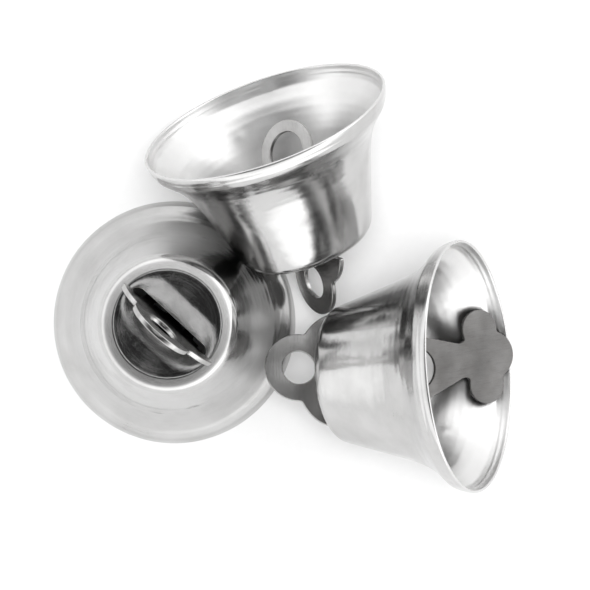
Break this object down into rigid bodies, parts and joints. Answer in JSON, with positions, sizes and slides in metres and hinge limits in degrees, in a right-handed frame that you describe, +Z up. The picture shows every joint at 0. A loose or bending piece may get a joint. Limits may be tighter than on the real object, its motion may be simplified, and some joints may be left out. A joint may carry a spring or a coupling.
{
  "type": "sleigh bells",
  "caption": "Loose pressed steel bells with flared mouths, flat crowns, slotted hangers with an eye, and flat trefoil clappers hooked inside.",
  "frame": {"origin": "on the surface the bells stand and lie on, under the middle of the box round the whole set", "axes": "+Z up, +X from the standing bell towards the right bell, along the longest extent; +Y from the standing bell towards the far, upper bell"},
  "size_m": [0.0758, 0.0688, 0.037],
  "materials": {
    "shell_steel": "bright nickel plate over pressed sheet steel, softly brushed, with faint draw rings",
    "hanger_steel": "nickel-plated punched sheet steel with fine straight brushing",
    "clapper_steel": "dull plated punched sheet steel"
  },
  "bodies": {
    "standing_bell": {"standing_bell_shell": "shell_steel"},
    "standing_hanger": {"standing_bell_hanger": "hanger_steel"},
    "standing_clapper": {"standing_bell_clapper": "clapper_steel"},
    "upper_bell": {"upper_bell_shell": "shell_steel"},
    "upper_hanger": {"upper_bell_hanger": "hanger_steel"},
    "upper_clapper": {"upper_bell_clapper": "clapper_steel"},
    "right_bell": {"right_bell_shell": "shell_steel"},
    "right_hanger": {"right_bell_hanger": "hanger_steel"},
    "right_clapper": {"right_bell_clapper": "clapper_steel"}
  },
  "joints": [
    {"name": "upper_bell_lift", "type": "slide", "parent": "standing_bell", "child": "upper_bell", "axis": [0, 0.5, 0.866], "range_m": [0, 0.04]},
    {"name": "right_bell_lift", "type": "slide", "parent": "standing_bell", "child": "right_bell", "axis": [0, 0, 1], "range_m": [0, 0.04]},
    {"name": "standing_hanger_rock", "type": "hinge", "parent": "standing_bell", "child": "standing_hanger", "pos_m": [-0.01789, -0.00781, 0.02336], "axis": [-0.7385, 0.6743, 0], "range_deg": [-6, 24]},
    {"name": "standing_clapper_swing", "type": "hinge", "parent": "standing_hanger", "child": "standing_clapper", "pos_m": [-0.01795, -0.00787, 0.0111], "axis": [-0.7385, 0.6743, 0], "range_deg": [0, 68]},
    {"name": "upper_hanger_rock", "type": "hinge", "parent": "upper_bell", "child": "upper_hanger", "pos_m": [0.00452, 0.00415, 0.00937], "axis": [0.5292, -0.187, 0.8276], "range_deg": [-18, 2]},
    {"name": "upper_clapper_swing", "type": "hinge", "parent": "upper_hanger", "child": "upper_clapper", "pos_m": [0.00072, 0.01435, 0.0141], "axis": [0.5292, -0.187, 0.8276], "range_deg": [-21, 0]},
    {"name": "right_hanger_rock", "type": "hinge", "parent": "right_bell", "child": "right_hanger", "pos_m": [0.00812, -0.01543, 0.00911], "axis": [0.0337, 0.9669, -0.253], "range_deg": [-30, 0]},
    {"name": "right_clapper_swing", "type": "hinge", "parent": "right_hanger", "child": "right_clapper", "pos_m": [0.01768, -0.01598, 0.00825], "axis": [0.0337, 0.9669, -0.253], "range_deg": [-42, 0]}
  ]
}
